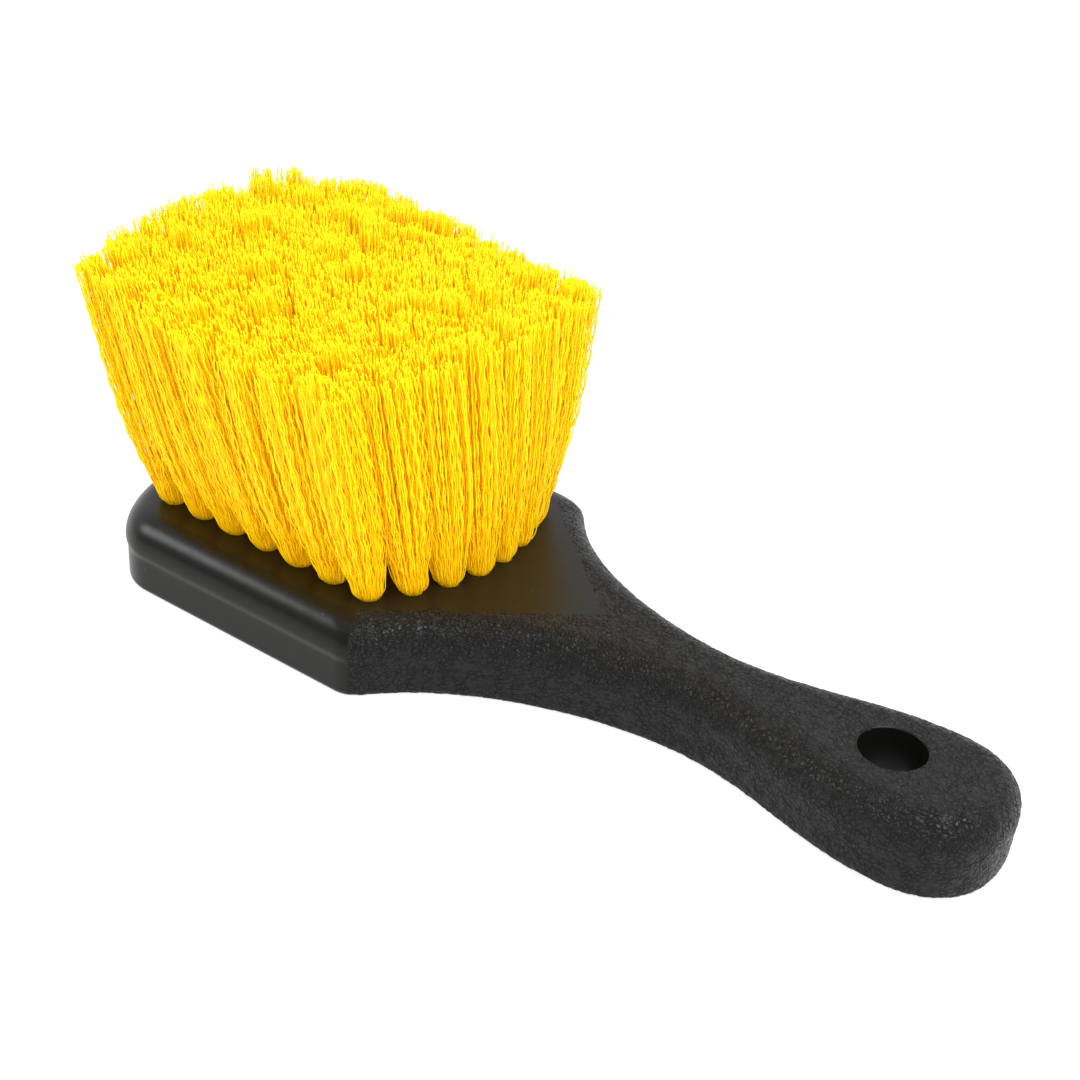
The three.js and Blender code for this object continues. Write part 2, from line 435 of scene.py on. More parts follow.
def panel_seam(ring):
    """The line that parts smooth plastic from grained plastic on one face, and on its edge."""
    corner = len(columns()[0]) - 1
    half = [half_ring(0.0, 0.0)[corner][None], ring[corner:panel_start(ring) + 1]]
    half = np.concatenate(half)
    return np.concatenate([half, [(PANEL_POINT_X, 0)], half[::-1] * (1, -1)])


def panel_polygon(ring):
    """The smooth panel's outline on a face whose edge is the ring."""
    start = panel_start(ring)
    return np.concatenate([ring[: start + 1], [(PANEL_POINT_X, 0)], ring[-start:]])


def distance_to(points, line):
    """Distance from each point to a polyline, measured to close samples of it."""
    steps = np.diff(line, axis=0)
    samples = np.concatenate([
        start + step * np.linspace(0, 1, max(2, int(np.hypot(*step) / 0.2)))[:, None]
        for start, step in zip(line, steps)
    ])
    result = np.empty(len(points))
    for i in range(0, len(points), 2000):
        part = points[i:i + 2000, None, :] - samples[None, :, :]
        result[i:i + 2000] = np.sqrt((part**2).sum(axis=2).min(axis=1))
    return result


def hexagonal_grid(low, high, pitch):
    """Points in rows across a rectangle, every second row shifted by half the pitch."""
    rows = []
    for i, y in enumerate(np.arange(low[1], high[1], pitch * math.sqrt(3) / 2)):
        x = np.arange(low[0] + pitch / 2 * (i % 2), high[0], pitch)
        rows.append(np.column_stack([x, np.full(len(x), y)]))
    return np.concatenate(rows)


def circle(centre, radius, sides):
    """Corners of a regular polygon."""
    angle = np.arange(sides) * 2 * math.pi / sides
    return np.array(centre) + radius * np.stack([np.cos(angle), np.sin(angle)], axis=1)


def inward_normals(ring):
    """Unit normals of a clockwise ring, pointing into it."""
    tangent = np.roll(ring, -1, axis=0) - np.roll(ring, 1, axis=0)
    tangent /= np.linalg.norm(tangent, axis=1)[:, None]
    return np.stack([tangent[:, 1], -tangent[:, 0]], axis=1)


def grained_grid(ring, holes, pitch, panel_edge):
    """Grid points for the grain of a flat face, clear of its edge, its panel and its holes."""
    grid = hexagonal_grid((SHOULDER_X, -HALF_WIDTH), (LENGTH, HALF_WIDTH), pitch)
    grid = grid[inside_polygon(grid, ring + pitch * EDGE_PITCHES * inward_normals(ring))]
    grid = grid[~inside_polygon(grid, panel_polygon(ring))]
    grid = grid[distance_to(grid, panel_edge) > pitch * LINE_PITCHES]
    for _, centre, radius in holes:
        grid = grid[np.hypot(*(grid - centre).T) > radius + pitch * LINE_PITCHES]
    return grid


def along_panel_edge(panel_edge, pitch):
    """Points along the panel's two straight sides, between their ends on the ring."""
    first, tip, last = panel_edge
    steps = np.linspace(0, 1, int(np.hypot(*(tip - first)) / pitch))[1:-1, None]
    return np.concatenate([first + (tip - first) * steps, [tip], tip + (last - tip) * steps])


def closed_edges(loops):
    """Edges round each loop of points, as pairs of numbers that run on from loop to loop."""
    edges, at = [], 0
    for loop in loops:
        edges += [(at + i, at + (i + 1) % len(loop)) for i in range(len(loop))]
        at += len(loop)
    return edges


def fill_face(ring, holes, pitch):
    """A flat face's points (the ring's and holes' come first), its triangles, and which are smooth."""
    start = panel_start(ring)
    loops = [ring] + [points for points, _, _ in holes]
    fixed = np.concatenate(loops)
    panel_edge = np.array([ring[start], (PANEL_POINT_X, 0), ring[-start]])
    on_edge = along_panel_edge(panel_edge, pitch)
    edge_numbers = list(range(len(fixed), len(fixed) + len(on_edge)))
    edge_numbers = [start] + edge_numbers + [len(ring) - start]
    edges = closed_edges(loops) + list(zip(edge_numbers, edge_numbers[1:]))
    points = np.concatenate([fixed, on_edge, grained_grid(ring, holes, pitch, panel_edge)])
    found = geometry.delaunay_2d_cdt([Vector(p) for p in points], edges, [], 0, 1e-6)
    original = np.array([origin[0] for origin in found[3]])
    triangles = original[np.array(found[2])]
    middles = points[triangles].mean(axis=1)
    keep = inside_polygon(middles, ring)
    for _, centre, radius in holes:
        keep &= np.hypot(*(middles - centre).T) > radius * HOLE_FLATNESS
    triangles, middles = triangles[keep], middles[keep]
    return points, triangles, inside_polygon(middles, panel_polygon(ring))


def leather(points):
    """Height of the moulded leather at each point: pebbles of uneven size, parted by creases."""
    # Without a seed, noise_vector differs from one run to the next
    noise.seed_set(GRAIN_SEED)
    heights = np.empty(len(points))
    for i, point in enumerate(points):
        place = Vector(point) / GRAIN_CELL
        place += noise.noise_vector(place * 0.7) * GRAIN_WARP
        distances = noise.voronoi(place)[0]
        crease = min(1.0, (distances[1] - distances[0]) / CREASE_WIDTH)
        swell = noise.noise(place * 0.6 + Vector((7.0, 3.0, 1.0)))
        fine = noise.noise(place * 2.6)
        heights[i] = crease * (2 - crease) + SWELL_SHARE * swell + FINE_SHARE * fine
    return heights - GRAIN_MIDDLE


def keep_panels_flat(piece):
    """Shades the level smooth faces flat, so that the rounded edge doesn't tint them."""
    for face in piece.data.polygons:
        if face.material_index == SMOOTH and abs(face.normal.z) > 0.9999:
            face.use_smooth = False


def read_vectors(mesh, collection, name):
    """A vector property of all a mesh's vertices or faces, as an array."""
    values = np.empty(len(getattr(mesh, collection)) * 3)
    getattr(mesh, collection).foreach_get(name, values)
    return values.reshape(-1, 3)


def grain_share(plan, on_wall, ring):
    """How much grain each point of one half of the skin has: none on the smooth panels."""
    from_hole = np.hypot(plan[:, 0] - HOLE_X, plan[:, 1]) - HOLE_RADIUS - HOLE_ROUND / 2
    grained = (on_wall | ~inside_polygon(plan, panel_polygon(ring))) & (from_hole > 0)
    share = np.zeros(len(plan))
    away = np.minimum(distance_to(plan[grained], panel_seam(ring)), from_hole[grained])
    share[grained] = np.clip(away / GRAIN_FADE, 0, 1)
    return share


def add_grain(piece, top_ring, back_ring, wall_points):
    """Moves the handle's skin along its normals by the leather's height."""
    mesh = piece.data
    points = read_vectors(mesh, "vertices", "co") / MM
    normals = read_vectors(mesh, "vertices", "normal")
    plan = points[:, :2] - (FAR_END, 0)
    number = np.arange(len(points))
    on_wall = number < wall_points
    column = number % len(top_ring)
    corner = len(columns()[0])
    on_handle = np.where(on_wall, (column >= corner) & (column <= len(top_ring) - corner), True)
    upper = points[:, 2] > THICKNESS / 2
    depth = np.zeros(len(points))
    for half, ring in ((upper, top_ring), (~upper, back_ring)):
        chosen = np.flatnonzero(half & on_handle & (plan[:, 0] > SHOULDER_X - TOP_ROUND))
        share = grain_share(plan[chosen], on_wall[chosen], ring)
        chosen, share = chosen[share > 0], share[share > 0]
        depth[chosen] = GRAIN_DEPTH * share * leather(points[chosen])
    points += normals * depth[:, None]
    points[:, 2] = np.maximum(points[:, 2], 0)
    mesh.vertices.foreach_set("co", (points * MM).ravel())
    mesh.update()


class Skin:
    """The moulding's skin while it is put together: points, faces and the faces' slots."""

    def __init__(self):
        self.points = []
        self.faces = []
        self.slots = []
        self.used = 0

    def add_points(self, plan, z):
        """Adds level points, and returns their numbers."""
        self.points.append(np.column_stack([plan, np.full(len(plan), z)]))
        self.used += len(plan)
        return np.arange(self.used - len(plan), self.used)

    def add_faces(self, faces, slots):
        self.faces.append(faces)
        self.slots.append(np.broadcast_to(slots, len(faces)))

    def add_wall(self, rings, heights, slots):
        """A wall through rings at their heights. Returns each ring's point numbers."""
        numbers = [self.add_points(ring, z) for ring, z in zip(rings, heights)]
        for lower, upper in zip(numbers, numbers[1:]):
            self.add_faces(ring_faces(lower, upper), slots)
        return numbers

    def add_cap(self, ring, ring_numbers, z, holes, pitch):
        """A flat face inside a ring. Returns the point numbers round each of its holes."""
        flat, triangles, smooth = fill_face(ring, holes, pitch)
        added = self.add_points(flat[len(ring):], z)
        numbers = np.concatenate([ring_numbers, added])
        self.add_faces(numbers[triangles], np.where(smooth, SMOOTH, GRAINED))
        ends = np.cumsum([len(points) for points, _, _ in holes])
        return np.split(added[:ends[-1]], ends[:-1])

    def add_tube(self, loop, centre, levels):
        """A wall from a hole's edge down through (radius, z) levels. Returns its last ring."""
        for radius, z in levels:
            ring = self.add_points(circle(centre, radius, len(loop)), z)
            self.add_faces(ring_faces(loop, ring), SMOOTH)
            loop = ring
        return loop


def wall_slots(count):
    """Slots of the wall's columns of faces, smooth on the block and grained on the handle."""
    on_block = len(columns()[0]) - 1
    slots = np.full(count, GRAINED)
    slots[:on_block] = SMOOTH
    slots[-on_block:] = SMOOTH
    return slots


def add_hanging_hole(skin, top_loop, back_loop):
    """Rounds the hole's two rims and joins them."""
    rim = [
        (HOLE_RADIUS + HOLE_ROUND * (1 - math.sin(a)), HOLE_ROUND * (1 - math.cos(a)))
        for a in np.linspace(0, math.pi / 2, 5)[1:]
    ]
    top_levels = [(radius, THICKNESS - drop) for radius, drop in rim] + [(HOLE_RADIUS, PARTING_Z)]
    from_top = skin.add_tube(top_loop, (HOLE_X, 0), top_levels)
    from_back = skin.add_tube(back_loop, (HOLE_X, 0), rim)
    skin.add_faces(ring_faces(from_top, from_back), SMOOTH)


def add_tuft_hole(skin, loop, root):
    """A blind drilled hole with a slightly rounded mouth."""
    bottom = THICKNESS - TUFT_HOLE_DEPTH
    last = skin.add_tube(loop, root, [
        (TUFT_HOLE_RADIUS + 0.04, THICKNESS - 0.05),
        (TUFT_HOLE_RADIUS, THICKNESS - TUFT_HOLE_BEVEL),
        (TUFT_HOLE_RADIUS, bottom),
        (DRILL_TIP_RADIUS, bottom - DRILL_TIP_DEPTH),
    ])
    skin.add_faces(last[None, :], SMOOTH)


def hole_outline(centre, radius, sides):
    return circle(centre, radius, sides), centre, radius


def make_moulding(materials, tuft_roots):
    """The block and handle in one piece, with its holes and its grain."""
    profile = edge_profile()
    rings = [whole_ring(on_block, on_handle) for on_block, on_handle, _ in profile]
    heights = [z for _, _, z in profile]
    hanging = hole_outline((HOLE_X, 0), HOLE_RADIUS + HOLE_ROUND, HOLE_SIDES)
    mouth = TUFT_HOLE_RADIUS + TUFT_HOLE_BEVEL
    top_holes = [hanging] + [hole_outline(root, mouth, TUFT_HOLE_SIDES) for root in tuft_roots]

    skin = Skin()
    numbers = skin.add_wall(rings, heights, wall_slots(len(rings[0])))
    wall_points = skin.used
    top_loops = skin.add_cap(rings[-1], numbers[-1], THICKNESS, top_holes, GRAIN_PITCH)
    back_loops = skin.add_cap(rings[0], numbers[0], 0.0, [hanging], BACK_PITCH)
    add_hanging_hole(skin, top_loops[0], back_loops[0])
    for loop, root in zip(top_loops[1:], tuft_roots):
        add_tuft_hole(skin, loop, root)

    points = np.concatenate(skin.points) + (FAR_END, 0, 0)
    piece = new_piece("moulded_handle", points, skin.faces, materials, np.concatenate(skin.slots))
    face_outwards(piece)
    keep_panels_flat(piece)
    add_grain(piece, rings[-1], rings[0], wall_points)
    return piece


# ---- Bristles -------------------------------------------------------------------------------


class TuftForm:
    """Root and tip of one tuft, read from its CAD solid."""

    def __init__(self, name):
        points = np.array([v.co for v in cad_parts[name].data.vertices]) / MM
        rim = points[np.abs(points[:, 2] - THICKNESS) < 0.05]
        tip = points[points[:, 2] > points[:, 2].max() - 0.05]
        self.name = name
        self.root = rim.mean(axis=0)
        self.tip = tip.mean(axis=0)
        self.half_cell = (tip.max(axis=0) - tip.min(axis=0))[:2] / 2


def trim_surface(forms):
    """Height of the bristle tips as a function of place: the trim that best fits all the tufts."""
    tips = np.array([form.tip for form in forms])

    def terms(plan):
        x, y = plan[..., 0], plan[..., 1]
        return np.stack([np.ones_like(x), x, y, x**2, y**2], axis=-1)

    fit = np.linalg.lstsq(terms(tips), tips[:, 2], rcond=None)[0]
    return lambda plan: terms(plan) @ fit


def half_disc(count):
    """Evenly spread points in the half of the unit disc above the X axis."""
    i = np.arange(count)
    angle = math.pi * ((i * (math.sqrt(5) - 1) / 2) % 1)
    return np.sqrt((i + 0.5) / count)[:, None] * np.stack([np.cos(angle), np.sin(angle)], axis=1)


def to_square(disc):
    """Moves points of the unit disc outwards to fill a rounded square."""
    angle = np.arctan2(disc[:, 1], disc[:, 0])
    reach = (np.abs(np.cos(angle)) ** 4 + np.abs(np.sin(angle)) ** 4) ** -0.25
    return disc * reach[:, None]


def filament_ends(random):
    """Where both legs of every filament stand in a tuft's round foot, in parts of its radius."""
    half = half_disc(FOLDED_FILAMENTS)
    scatter = random.normal(0, ROOT_SCATTER, (2 * FOLDED_FILAMENTS, 2))
    return np.concatenate([half, half * (1, -1)]) + scatter


class Clumps:
    """The clumps of one tuft: the place, lean, rise and crimp of each."""

    def __init__(self, random):
        sides = np.where(np.arange(CLUMPS) % 2, 1, -1)[:, None]
        self.places = to_square(half_disc(CLUMPS) * sides)
        self.places += random.normal(0, CLUMP_SCATTER, (CLUMPS, 2))
        self.lean = random.normal(0, CLUMP_LEAN, (CLUMPS, 2))
        self.rise = random.normal(0, CLUMP_RISE, CLUMPS)
        self.rise += (random.random(CLUMPS) < TALL_CLUMP_SHARE) * TALL_CLUMP_RISE
        self.phase = random.uniform(0, 2 * math.pi, CLUMPS)
        self.turn = random.uniform(0, math.pi, CLUMPS)

    def nearest(self, places):
        """Number of the clump that is nearest to each place."""
        return np.argmin(((places[:, None] - self.places[None]) ** 2).sum(axis=2), axis=1)


def gather(even, clump_tips, lean, random):
    """Moves evenly spread tips towards their clumps, and lets a few stray or hang loose."""
    count = len(even)
    tips = even + CLUMP_PULL * (clump_tips - even)
    tips += lean
    stray = random.random(count) < STRAY_SHARE
    tips += stray[:, None] * random.normal(0, STRAY_SCATTER, (count, 2))
    loose = random.random(count) < LOOSE_SHARE
    reach = np.clip(random.normal(0, LOOSE_SCATTER, (count, 2)), -LOOSE_LIMIT, LOOSE_LIMIT)
    return tips + loose[:, None] * reach


def spread_out(ends, even, height, random):
    """How far each filament is from its tuft's middle line on the way from its end to its tip."""
    spread = 1 - np.exp(-((height / SPREAD_HEIGHT) ** SPREAD_ONSET))
    spread = spread / spread[:, -1:]
    root_offset = ends * ROOT_RADIUS
    offset = root_offset[:, None] * (1 - spread) + even[:, None] * spread
    bulge = BULGE * (1 + np.abs(random.normal(0, BULGE_SCATTER, len(ends))))[:, None, None]
    swell = bulge * (1 - np.exp(-height / BULGE_HEIGHT)) * np.exp(-height / SPREAD_HEIGHT)
    return offset + ends[:, None] * swell


def crimp(height, clump_turn, clump_phase, random):
    """The sideways wave of each filament."""
    count = len(height)
    turn = clump_turn + random.normal(0, CRIMP_TURN_SCATTER, count)
    across = np.stack([np.cos(turn), np.sin(turn)], axis=1)[:, None]
    length = CRIMP_LENGTH * random.normal(1, CRIMP_LENGTH_SCATTER, count)[:, None, None]
    phase = (clump_phase + random.normal(0, CRIMP_PHASE_SCATTER, count))[:, None, None]
    swing = CRIMP_HEIGHT * random.uniform(*CRIMP_HEIGHT_SPAN, count)[:, None, None]
    risen = np.clip(height / CRIMP_ONSET, 0, 1)
    swing = swing * (CRIMP_AT_ROOT + (1 - CRIMP_AT_ROOT) * risen)
    return swing * np.sin(2 * math.pi * height / length + phase) * across


def filament_paths(form, trim, random):
    """Paths of a tuft's filaments, each folded over the anchor: (filament, point, xyz)."""
    ends = filament_ends(random)
    square = to_square(ends)
    clumps = Clumps(random)
    clump = clumps.nearest(square)
    even = square * form.half_cell * TIP_OVERLAP + random.normal(0, TIP_SCATTER, ends.shape)
    clump_tips = clumps.places[clump] * form.half_cell * TIP_OVERLAP
    gathered = gather(even, clump_tips, clumps.lean[clump], random)
    tip_z = trim(form.tip[:2] + gathered) + clumps.rise[clump]
    tip_z += random.normal(0, TRIM_SCATTER, len(ends))

    t = np.linspace(0, 1, STEPS_UP + 1)[None, :, None] ** STEP_GROWTH
    height = t * (tip_z[:, None, None] - THICKNESS)
    offset = spread_out(ends, even, height, random)
    offset = offset + (gathered - even)[:, None] * t**2
    plan = form.root[:2] + t * (form.tip[:2] - form.root[:2]) + offset
    plan = plan + crimp(height, clumps.turn[clump], clumps.phase[clump], random)
    up = np.concatenate([plan, THICKNESS + height], axis=2)

    first, second = up[:FOLDED_FILAMENTS], up[FOLDED_FILAMENTS:]
    return np.concatenate([first[:, ::-1], fold(form, first[:, 0], second[:, 0]), second], axis=1)


def fold(form, first, second):
    """The hidden stretch of each filament, down into the hole and round under the anchor."""
    root = np.array([form.root[0], form.root[1], 0])
    fold_z = THICKNESS - TUFT_HOLE_DEPTH + FOLD_LIFT

    def down_hole(leg, share):
        """A leg's point at a share of the way down to the fold."""
        point = root + (leg - root) * (1 + (np.array(FOLD_SQUEEZE) - 1) * share)
        point[:, 2] = THICKNESS + (fold_z - THICKNESS) * share
        return point

    down, up = down_hole(first, 1.0), down_hole(second, 1.0)
    middle, reach = (down + up) / 2, (down - up) / 2
    arc = [
        middle + reach * math.cos(angle) - np.array([0, 0, FOLD_DEPTH * math.sin(angle)])
        for angle in np.linspace(0, math.pi, FOLD_POINTS)[1:-1]
    ]
    sinking, rising = down_hole(first, HALFWAY_DOWN), down_hole(second, HALFWAY_DOWN)
    return np.stack([sinking, down] + arc + [up, rising], axis=1)


def tube_mesh(paths, radius, sides):
    """Closed tubes along paths (tube, point, xyz), with flat ends."""
    tubes, steps = paths.shape[:2]
    tangent = np.gradient(paths, axis=1)
    tangent /= np.linalg.norm(tangent, axis=2)[:, :, None]
    reference = np.array([1.0, 0.35, 0.0])
    side = np.cross(tangent, reference)
    side /= np.linalg.norm(side, axis=2)[:, :, None]
    other = np.cross(tangent, side)
    angle = 2 * math.pi * np.arange(sides) / sides
    offset = side[:, :, None] * np.cos(angle)[:, None] + other[:, :, None] * np.sin(angle)[:, None]
    points = (paths[:, :, None] + radius[:, :, None, None] * offset).reshape(-1, 3)
    number = np.arange(tubes * steps * sides).reshape(tubes, steps, sides)
    following = np.roll(number, -1, axis=2)
    quads = np.stack([number[:, :-1], following[:, :-1], following[:, 1:], number[:, 1:]], axis=-1)
    start_caps = number[:, 0, ::-1]
    end_caps = number[:, -1]
    return points, [quads.reshape(-1, 4), start_caps, end_caps]


def make_tuft(form, trim, random, material):
    """One tuft's filaments in one piece, with a random shade for each filament."""
    paths = filament_paths(form, trim, random)
    risen = np.clip((paths[:, :, 2] - THICKNESS) / TAPER_HEIGHT, 0, 1)
    radius = ROOT_FILAMENT_RADIUS + (FILAMENT_RADIUS - ROOT_FILAMENT_RADIUS) * risen
    points, faces = tube_mesh(paths, radius, TUBE_SIDES)
    piece = new_piece(form.name.replace("tuft", "bristles"), points, faces, [material])
    per_filament = paths.shape[1] * TUBE_SIDES
    shade = np.repeat(random.random(len(paths)), per_filament)
    layer = piece.data.attributes.new("filament_shade", "FLOAT", "POINT")
    layer.data.foreach_set("value", shade.astype(np.float32))
    return piece


# ---- Anchors --------------------------------------------------------------------------------


def make_anchors(forms, material):
    """The flat wire staples that hold the tufts' folds down in their holes, as one piece."""
    half = np.array(ANCHOR_SIZE) / 2
    signs = np.array([(x, y, z) for z in (-1, 1) for y in (-1, 1) for x in (-1, 1)])
    sides = np.array([
        (0, 2, 3, 1), (4, 5, 7, 6), (0, 1, 5, 4), (2, 6, 7, 3), (0, 4, 6, 2), (1, 3, 7, 5),
    ])
    middle_z = THICKNESS - TUFT_HOLE_DEPTH + ANCHOR_LIFT
    points = [signs * half + (form.root[0], form.root[1], middle_z) for form in forms]
    faces = [sides + len(signs) * i for i in range(len(forms))]
    piece = new_piece("tuft_anchors", np.concatenate(points), faces, [material])
    bevel = piece.modifiers.new("worn edges", "BEVEL")
    bevel.width = ANCHOR_BEVEL * MM
    bevel.segments = 2
    return piece


# ---- Materials ------------------------------------------------------------------------------


class Shader:
    """A Principled material and short ways to add nodes to it."""

    def __init__(self, name):
        self.material = bpy.data.materials.new(name)
        self.material.use_nodes = True
        self.tree = self.material.node_tree
        self.main = self.tree.nodes["Principled BSDF"]
        self.place = self.node("ShaderNodeTexCoord").outputs["Object"]

    def node(self, kind, inputs=(), **settings):
        """A node with its settings, and with its inputs linked or given a value."""
        made = self.tree.nodes.new(kind)
        for name, value in settings.items():
            setattr(made, name, value)
        for name, value in dict(inputs).items():
            if isinstance(value, bpy.types.NodeSocket):
                self.tree.links.new(value, made.inputs[name])
            else:
                made.inputs[name].default_value = value
        return made

    def noise(self, size_mm, detail=3.0, roughness=0.5, vector=None):
        inputs = {"Scale": 1 / (size_mm * MM), "Detail": detail, "Roughness": roughness}
        inputs["Vector"] = vector or self.place
        return self.node("ShaderNodeTexNoise", inputs).outputs["Fac"]

    def range(self, value, low, high, to_low, to_high):
        inputs = {"Value": value, "From Min": low, "From Max": high}
        inputs.update({"To Min": to_low, "To Max": to_high})
        return self.node("ShaderNodeMapRange", inputs).outputs["Result"]

    def mix(self, share, first, second):
        """A colour between two others."""
        made = self.node("ShaderNodeMix", {0: share, 6: first, 7: second}, data_type="RGBA")
        return made.outputs[2]

    def bump(self, height, depth_mm, strength=1.0, normal=None):
        inputs = {"Height": height, "Distance": depth_mm * MM, "Strength": strength}
        if normal is not None:
            inputs["Normal"] = normal
        return self.node("ShaderNodeBump", inputs).outputs["Normal"]

    def set(self, **inputs):
        """Links or sets the shader's own inputs. Returns the finished material."""
        for name, value in inputs.items():
            socket = self.main.inputs[name.replace("_", " ")]
            if isinstance(value, bpy.types.NodeSocket):
                self.tree.links.new(value, socket)
            else:
                socket.default_value = value
        return self.material


def smooth_plastic():
    """Satin black polypropylene, with a slight orange peel, faint scuffs and specks of dust."""
    shader = Shader("smooth_black_plastic")
    cloud = shader.noise(9.0, detail=4.0)
    black = shader.mix(cloud, *SMOOTH_BLACKS)
    specks = shader.node("ShaderNodeTexVoronoi", {"Vector": shader.place, "Scale": 1 / (6.5 * MM)})
    dust = shader.range(specks.outputs["Distance"], 0.02, 0.04, 0.6, 0.0)
    colour = shader.mix(dust, black, DUST)
    scuffs = shader.noise(2.2, detail=6.0, roughness=0.7)
    roughness = shader.range(scuffs, 0.3, 0.75, 0.29, 0.34)
    waves = shader.bump(shader.noise(3.4, detail=1.0), 0.05, 0.6)
    peel = shader.bump(shader.noise(0.8, detail=2.0), 0.004, 0.5, waves)
    return shader.set(
        Base_Color=colour, Roughness=roughness, Normal=peel, Specular_IOR_Level=0.23
    )


def warped_cells(shader, cell_mm, warp_mm):
    """Distance from the edges of a leathery net of cells: 0 in a crease, 1 on a pebble."""
    swirl = shader.node(
        "ShaderNodeTexNoise", {"Vector": shader.place, "Scale": 1 / (1.3 * cell_mm * MM)}
    )
    centred = shader.node(
        "ShaderNodeVectorMath", {0: swirl.outputs["Color"], 1: (-0.5, -0.5, -0.5)}, operation="ADD"
    )
    shift = shader.node("ShaderNodeVectorMath", {0: centred.outputs[0]}, operation="SCALE")
    shift.inputs["Scale"].default_value = warp_mm * MM
    moved = shader.node(
        "ShaderNodeVectorMath", {0: shader.place, 1: shift.outputs[0]}, operation="ADD"
    )
    cells = shader.node(
        "ShaderNodeTexVoronoi",
        {"Vector": moved.outputs[0], "Scale": 1 / (cell_mm * MM)},
        feature="DISTANCE_TO_EDGE",
    )
    return shader.range(cells.outputs["Distance"], 0.0, 0.24, 0.0, 1.0)


def grained_plastic():
    """The same plastic with a moulded leather grain, its creases painted near-black as shade and its
    pebbles shiny.
    """
    shader = Shader("grained_black_plastic")
    cloud = shader.noise(12.0, detail=4.0)
    black = shader.mix(cloud, *GRAINED_BLACKS)
    pebbles = warped_cells(shader, 1.1, 1.2)
    broken = shader.range(shader.noise(2.4, detail=2.0), 0.45, 0.65, 0.0, 0.6)
    pebbles = shader.mix(broken, pebbles, WHITE)
    wrinkles = shader.noise(0.5, detail=3.0, roughness=0.6)
    normal = shader.bump(pebbles, 0.20, 1.0)
    normal = shader.bump(wrinkles, 0.13, 0.6, normal)
    # Painted shade: the creases are coloured near-black.
    colour = shader.mix(pebbles, PAINTED_CREASE_SHADE, black)
    roughness = shader.range(pebbles, 0.0, 1.0, 0.62, 0.30)
    return shader.set(
        Base_Color=colour, Roughness=roughness, Normal=normal, Specular_IOR_Level=0.22
    )


def anchor_metal():
    """Drawn galvanised wire: fine scratches along the wire, and cloudy zinc."""
    shader = Shader("anchor_wire")
    stretch = shader.node("ShaderNodeMapping", {"Vector": shader.place})
    stretch.inputs["Scale"].default_value = (0.08, 1.0, 1.0)
    grain = shader.noise(0.12, detail=3.0, vector=stretch.outputs[0])
    zinc = shader.mix(shader.noise(1.5), *ZINCS)
    roughness = shader.range(grain, 0.3, 0.7, 0.28, 0.5)
    normal = shader.bump(grain, 0.01, 0.4)
    return shader.set(Base_Color=zinc, Roughness=roughness, Metallic=1.0, Normal=normal)


def bristle_plastic():
    """Yellow crimped filament, each one a slightly different yellow, with painted shade making it
    darker and more orange near its root.
    """
    shader = Shader("yellow_filament")
    shade = shader.node("ShaderNodeAttribute", attribute_name="filament_shade").outputs["Fac"]
    yellow = shader.mix(shade, *YELLOWS)
    height = shader.node("ShaderNodeSeparateXYZ", {"Vector": shader.place}).outputs["Z"]
    # Painted shade: the yellow turns darker and more orange towards the roots.
    fade_end = (THICKNESS + PAINTED_ROOT_SHADE_HEIGHT) * MM
    low = shader.range(height, THICKNESS * MM, fade_end, PAINTED_ROOT_SHADE_SHARE, 0.0)
    colour = shader.mix(low, yellow, PAINTED_ROOT_SHADE)
    return shader.set(Base_Color=colour, Roughness=0.5, Specular_IOR_Level=0.12)


# ---- Stage ----------------------------------------------------------------------------------


def aimed(place, aim):
    """Matrix of a camera or light at a place, looking at its aim."""
    turn = (Vector(aim) - Vector(place)).to_track_quat("-Z", "Y").to_matrix().to_4x4()
    return Matrix.Translation(place) @ turn


def make_camera():
    data = bpy.data.cameras.new("camera")
    data.lens = CAMERA_LENS
    data.sensor_width = 36.0
    camera = bpy.data.objects.new("camera", data)
    bpy.context.scene.collection.objects.link(camera)
    roll = Matrix.Rotation(math.radians(CAMERA_ROLL), 4, "Z")
    camera.matrix_world = aimed(CAMERA_PLACE, CAMERA_AIM) @ roll
    bpy.context.scene.camera = camera


def make_floor():
    """A wide pale floor that glows a little, so that it shows white with hardly a shadow."""
    mesh = bpy.data.meshes.new("floor")
    signs = ((-1, -1), (1, -1), (1, 1), (-1, 1))
    corners = [(x * FLOOR_REACH, y * FLOOR_REACH, 0) for x, y in signs]
    mesh.from_pydata(corners, [], [(0, 1, 2, 3)])
    floor = bpy.data.objects.new("floor", mesh)
    bpy.context.scene.collection.objects.link(floor)
    shader = Shader("pale_floor")
    colour = shader.mix(shader.noise(400.0), *FLOOR_GREYS)
    mesh.materials.append(shader.set(
        Base_Color=colour, Roughness=0.9, Emission_Color=WHITE, Emission_Strength=FLOOR_GLOW
    ))


def soft_light(name, place, aim, size, power):
    data = bpy.data.lights.new(name, "AREA")
    data.shape = "RECTANGLE"
    data.size = size
    data.size_y = size
    data.energy = power
    light = bpy.data.objects.new(name, data)
    bpy.context.scene.collection.objects.link(light)
    light.matrix_world = aimed(place, aim)
    return light


def smooth_ramp(tree, value, span, results):
    """A smooth step from the first to the second result as the value crosses the span."""
    node = tree.nodes.new("ShaderNodeMapRange")
    node.interpolation_type = "SMOOTHSTEP"
    tree.links.new(value, node.inputs["Value"])
    node.inputs["From Min"].default_value, node.inputs["From Max"].default_value = span
    node.inputs["To Min"].default_value, node.inputs["To Max"].default_value = results
    return node.outputs["Result"]


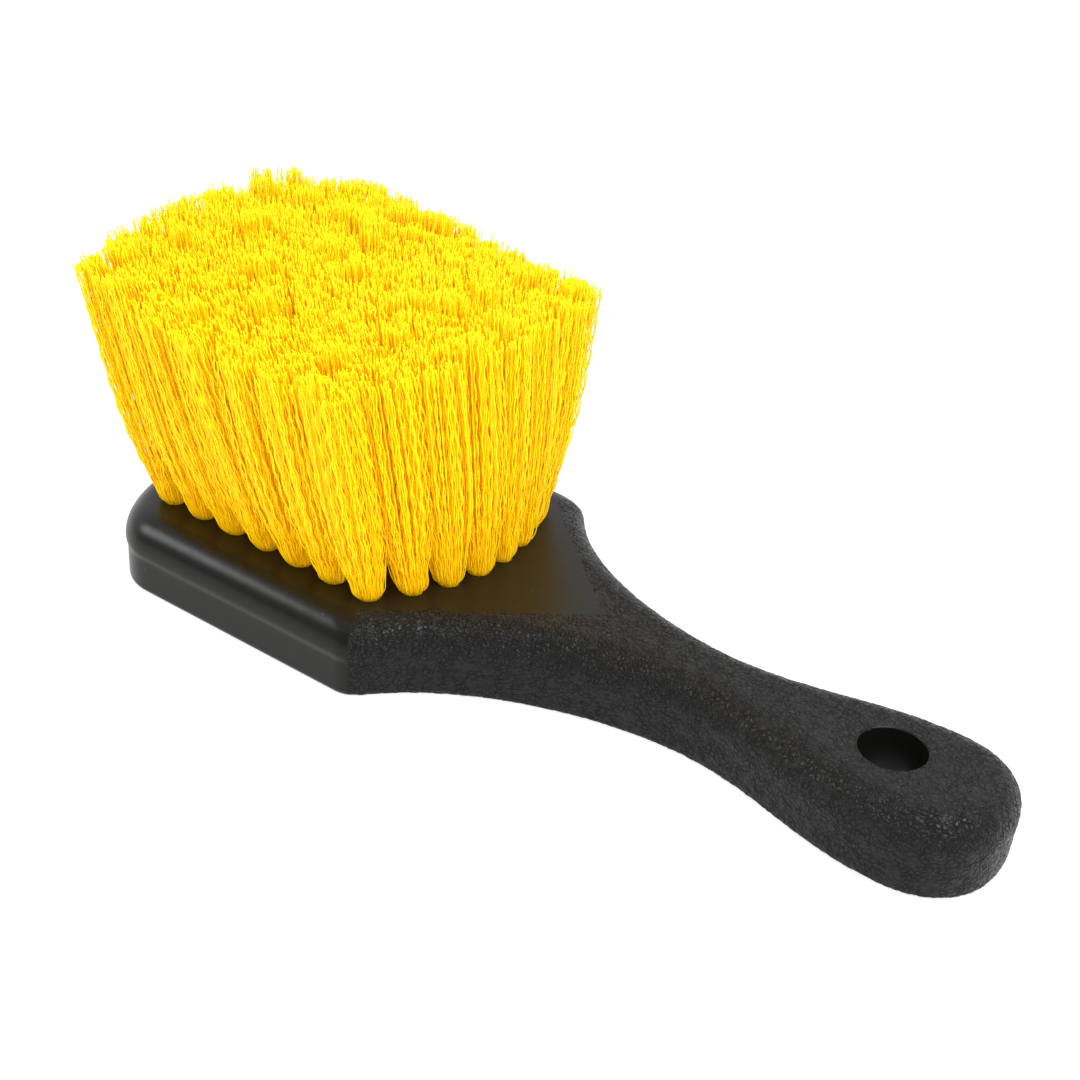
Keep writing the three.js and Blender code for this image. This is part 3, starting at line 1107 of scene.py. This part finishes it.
def make_world():
    """A bright sky above and behind the brush, a dim one on the camera's side, a white horizon."""
    world = bpy.data.worlds.new("studio")
    world.use_nodes = True
    tree = world.node_tree
    place = tree.nodes.new("ShaderNodeTexCoord").outputs["Generated"]
    along = tree.nodes.new("ShaderNodeVectorMath")
    along.operation = "DOT_PRODUCT"
    tree.links.new(place, along.inputs[0])
    along.inputs[1].default_value = Vector(BRIGHT_SKY).normalized()
    skies = (DIM_SKY_STRENGTH, BRIGHT_SKY_STRENGTH)
    sky = smooth_ramp(tree, along.outputs["Value"], SKY_SPAN, skies)
    direction = tree.nodes.new("ShaderNodeSeparateXYZ")
    tree.links.new(place, direction.inputs[0])
    horizon = smooth_ramp(tree, direction.outputs["Z"], HORIZON_RISE, (1.0, 0.0))
    brighter = tree.nodes.new("ShaderNodeMath")
    brighter.operation = "MAXIMUM"
    tree.links.new(sky, brighter.inputs[0])
    tree.links.new(horizon, brighter.inputs[1])
    tree.links.new(brighter.outputs[0], tree.nodes["Background"].inputs["Strength"])
    tree.nodes["Background"].inputs["Color"].default_value = WHITE
    bpy.context.scene.world = world


def make_studio():
    make_world()
    scene = bpy.context.scene
    scene.view_settings.view_transform = "Standard"
    scene.cycles.max_bounces = LIGHT_BOUNCES
    scene.cycles.diffuse_bounces = LIGHT_BOUNCES
    soft_light("key", KEY_PLACE, STUDIO_AIM, KEY_SIZE, KEY_POWER)
    soft_light("fill", FILL_PLACE, STUDIO_AIM, FILL_SIZE, FILL_POWER)


def new_collection(name, pieces):
    collection = bpy.data.collections.new(name)
    for piece in pieces:
        collection.objects.link(piece)
    return collection


def light_bristles(tufts, moulding):
    """A soft front light for the bristles alone, which they don't shade from one another.

    It stands for the light that real filaments carry into the tufts."""
    light = soft_light("front", FRONT_PLACE, FRONT_AIM, FRONT_SIZE, FRONT_POWER)
    linking = light.light_linking
    linking.receiver_collection = new_collection("bristles", tufts)
    linking.blocker_collection = new_collection("bristle_light_blockers", [moulding])


# ---- The brush ------------------------------------------------------------------------------


make_camera()
make_floor()
make_studio()

tuft_names = sorted(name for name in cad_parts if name.startswith("tuft_"))
forms = [TuftForm(name) for name in tuft_names]
roots = [form.root[:2] - (FAR_END, 0) for form in forms]
handle = make_moulding([smooth_plastic(), grained_plastic()], roots)
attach(handle, BODY)
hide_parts("handle_block")

yellow = bristle_plastic()
trim_height = trim_surface(forms)
tufts = []
for order, tuft_form in enumerate(forms):
    tuft = make_tuft(tuft_form, trim_height, np.random.default_rng(order), yellow)
    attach(tuft, BODY)
    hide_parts(tuft_form.name)
    tufts.append(tuft)
light_bristles(tufts, handle)

anchors = make_anchors(forms, anchor_metal())
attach(anchors, BODY)
